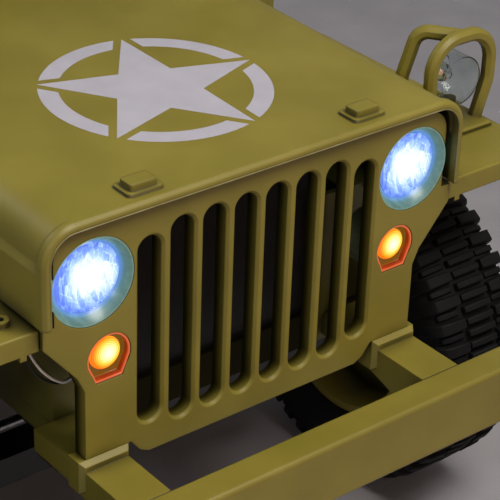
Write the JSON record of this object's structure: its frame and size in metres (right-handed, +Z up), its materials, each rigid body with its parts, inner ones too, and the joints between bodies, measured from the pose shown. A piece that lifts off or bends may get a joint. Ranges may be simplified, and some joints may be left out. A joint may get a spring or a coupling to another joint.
{
  "type": "children's ride-on army 4x4 car",
  "caption": "Open olive green ride-on 4x4 with slotted grille, opening bonnet, folding screen, bucket seats and steered wheels.",
  "frame": {"origin": "on the ground, at the middle of the overall length and width", "axes": "+Z up, the front faces -Y, +X is the car's left side"},
  "size_m": [0.71, 1.4936, 0.815],
  "materials": {
    "body_paint": "satin olive green moulding",
    "frame_plastic": "matt black moulding",
    "steel": "zinc plated",
    "lamp_clear": "clear lens over a fluted reflector",
    "lamp_amber": "amber lens",
    "lamp_red": "red lens",
    "seat_plastic": "grained moulding",
    "battery_case": "plain case",
    "lead_insulation": "white and dark blue lead insulation",
    "tyre": "matt black tread",
    "rim": "satin olive green moulding",
    "screen_clear": "clear sheet"
  },
  "bodies": {
    "root": {"grille": "body_paint", "front_bumper": "body_paint", "engine_bay": "body_paint", "fender_left": "body_paint", "fender_right": "body_paint", "lamp_guard": "body_paint", "side_panel_left": "body_paint", "side_panel_right": "body_paint", "rear_panel": "body_paint", "wheel_box_left": "body_paint", "wheel_box_right": "body_paint", "cowl": "body_paint", "floor": "body_paint", "rear_bumperettes": "body_paint", "marker_housing_left": "body_paint", "marker_housing_right": "body_paint", "frame": "frame_plastic", "radiator_panel": "frame_plastic", "front_axle": "frame_plastic", "drive_left": "frame_plastic", "drive_right": "frame_plastic", "dashboard": "frame_plastic", "steering_column": "frame_plastic", "rear_axle": "steel", "spare_carrier": "steel", "tow_hitch": "steel", "headlamp_left": "lamp_clear", "headlamp_right": "lamp_clear", "guard_lamp": "lamp_clear", "marker_lamp_left": "lamp_amber", "marker_lamp_right": "lamp_amber", "tail_lamps": "lamp_red", "seat_left": "seat_plastic", "seat_right": "seat_plastic", "battery": "battery_case", "lamp_leads_left": "lead_insulation", "lamp_leads_right": "lead_insulation", "spare_tyre": "tyre", "spare_rim": "rim"},
    "bonnet": {"bonnet": "body_paint"},
    "windscreen": {"windscreen_frame": "body_paint", "windscreen_panes": "screen_clear"},
    "steering": {"steering_wheel": "frame_plastic"},
    "knuckle_left": {"knuckle_left": "frame_plastic"},
    "knuckle_right": {"knuckle_right": "frame_plastic"},
    "tie_rod": {"tie_rod": "steel"},
    "wheel_front_left": {"tyre_front_left": "tyre", "rim_front_left": "rim"},
    "wheel_front_right": {"tyre_front_right": "tyre", "rim_front_right": "rim"},
    "wheel_rear_left": {"tyre_rear_left": "tyre", "rim_rear_left": "rim"},
    "wheel_rear_right": {"tyre_rear_right": "tyre", "rim_rear_right": "rim"}
  },
  "joints": [
    {"name": "steering_turn", "type": "hinge", "parent": "root", "child": "steering", "pos_m": [0.1205, -0.1252, 0.47], "axis": [0, 0.848, 0.5299], "range_deg": [-44, 44]},
    {"name": "knuckle_left_turn", "type": "hinge", "parent": "root", "child": "knuckle_left", "pos_m": [0.215, -0.4752, 0.17], "axis": [0, 0, 1], "range_deg": [-22, 22]},
    {"name": "knuckle_right_turn", "type": "hinge", "parent": "root", "child": "knuckle_right", "pos_m": [-0.215, -0.4752, 0.17], "axis": [0, 0, 1], "range_deg": [-22, 22]},
    {"name": "tie_rod_slide", "type": "slide", "parent": "root", "child": "tie_rod", "axis": [1, 0, 0], "range_m": [-0.024, 0.024]},
    {"name": "bonnet_hinge", "type": "hinge", "parent": "root", "child": "bonnet", "pos_m": [0, -0.2585, 0.51293], "axis": [-1, 0, 0], "range_deg": [0, 60]},
    {"name": "windscreen_fold", "type": "hinge", "parent": "root", "child": "windscreen", "pos_m": [0, -0.2282, 0.54], "axis": [-1, 0, 0], "range_deg": [-90, 0]},
    {"name": "wheel_front_left_spin", "type": "hinge", "parent": "knuckle_left", "child": "wheel_front_left", "pos_m": [0.3, -0.4752, 0.17], "axis": [1, 0, 0], "continuous": true},
    {"name": "wheel_front_right_spin", "type": "hinge", "parent": "knuckle_right", "child": "wheel_front_right", "pos_m": [-0.3, -0.4752, 0.17], "axis": [1, 0, 0], "continuous": true},
    {"name": "wheel_rear_left_spin", "type": "hinge", "parent": "root", "child": "wheel_rear_left", "pos_m": [0.3, 0.3748, 0.17], "axis": [1, 0, 0], "continuous": true},
    {"name": "wheel_rear_right_spin", "type": "hinge", "parent": "root", "child": "wheel_rear_right", "pos_m": [-0.3, 0.3748, 0.17], "axis": [1, 0, 0], "continuous": true}
  ],
  "couplings": [
    {"joint": "knuckle_left_turn", "follows": "steering_turn", "ratio": 0.5},
    {"joint": "knuckle_right_turn", "follows": "steering_turn", "ratio": 0.5},
    {"joint": "tie_rod_slide", "follows": "steering_turn", "m_per_rad": -0.029268}
  ]
}
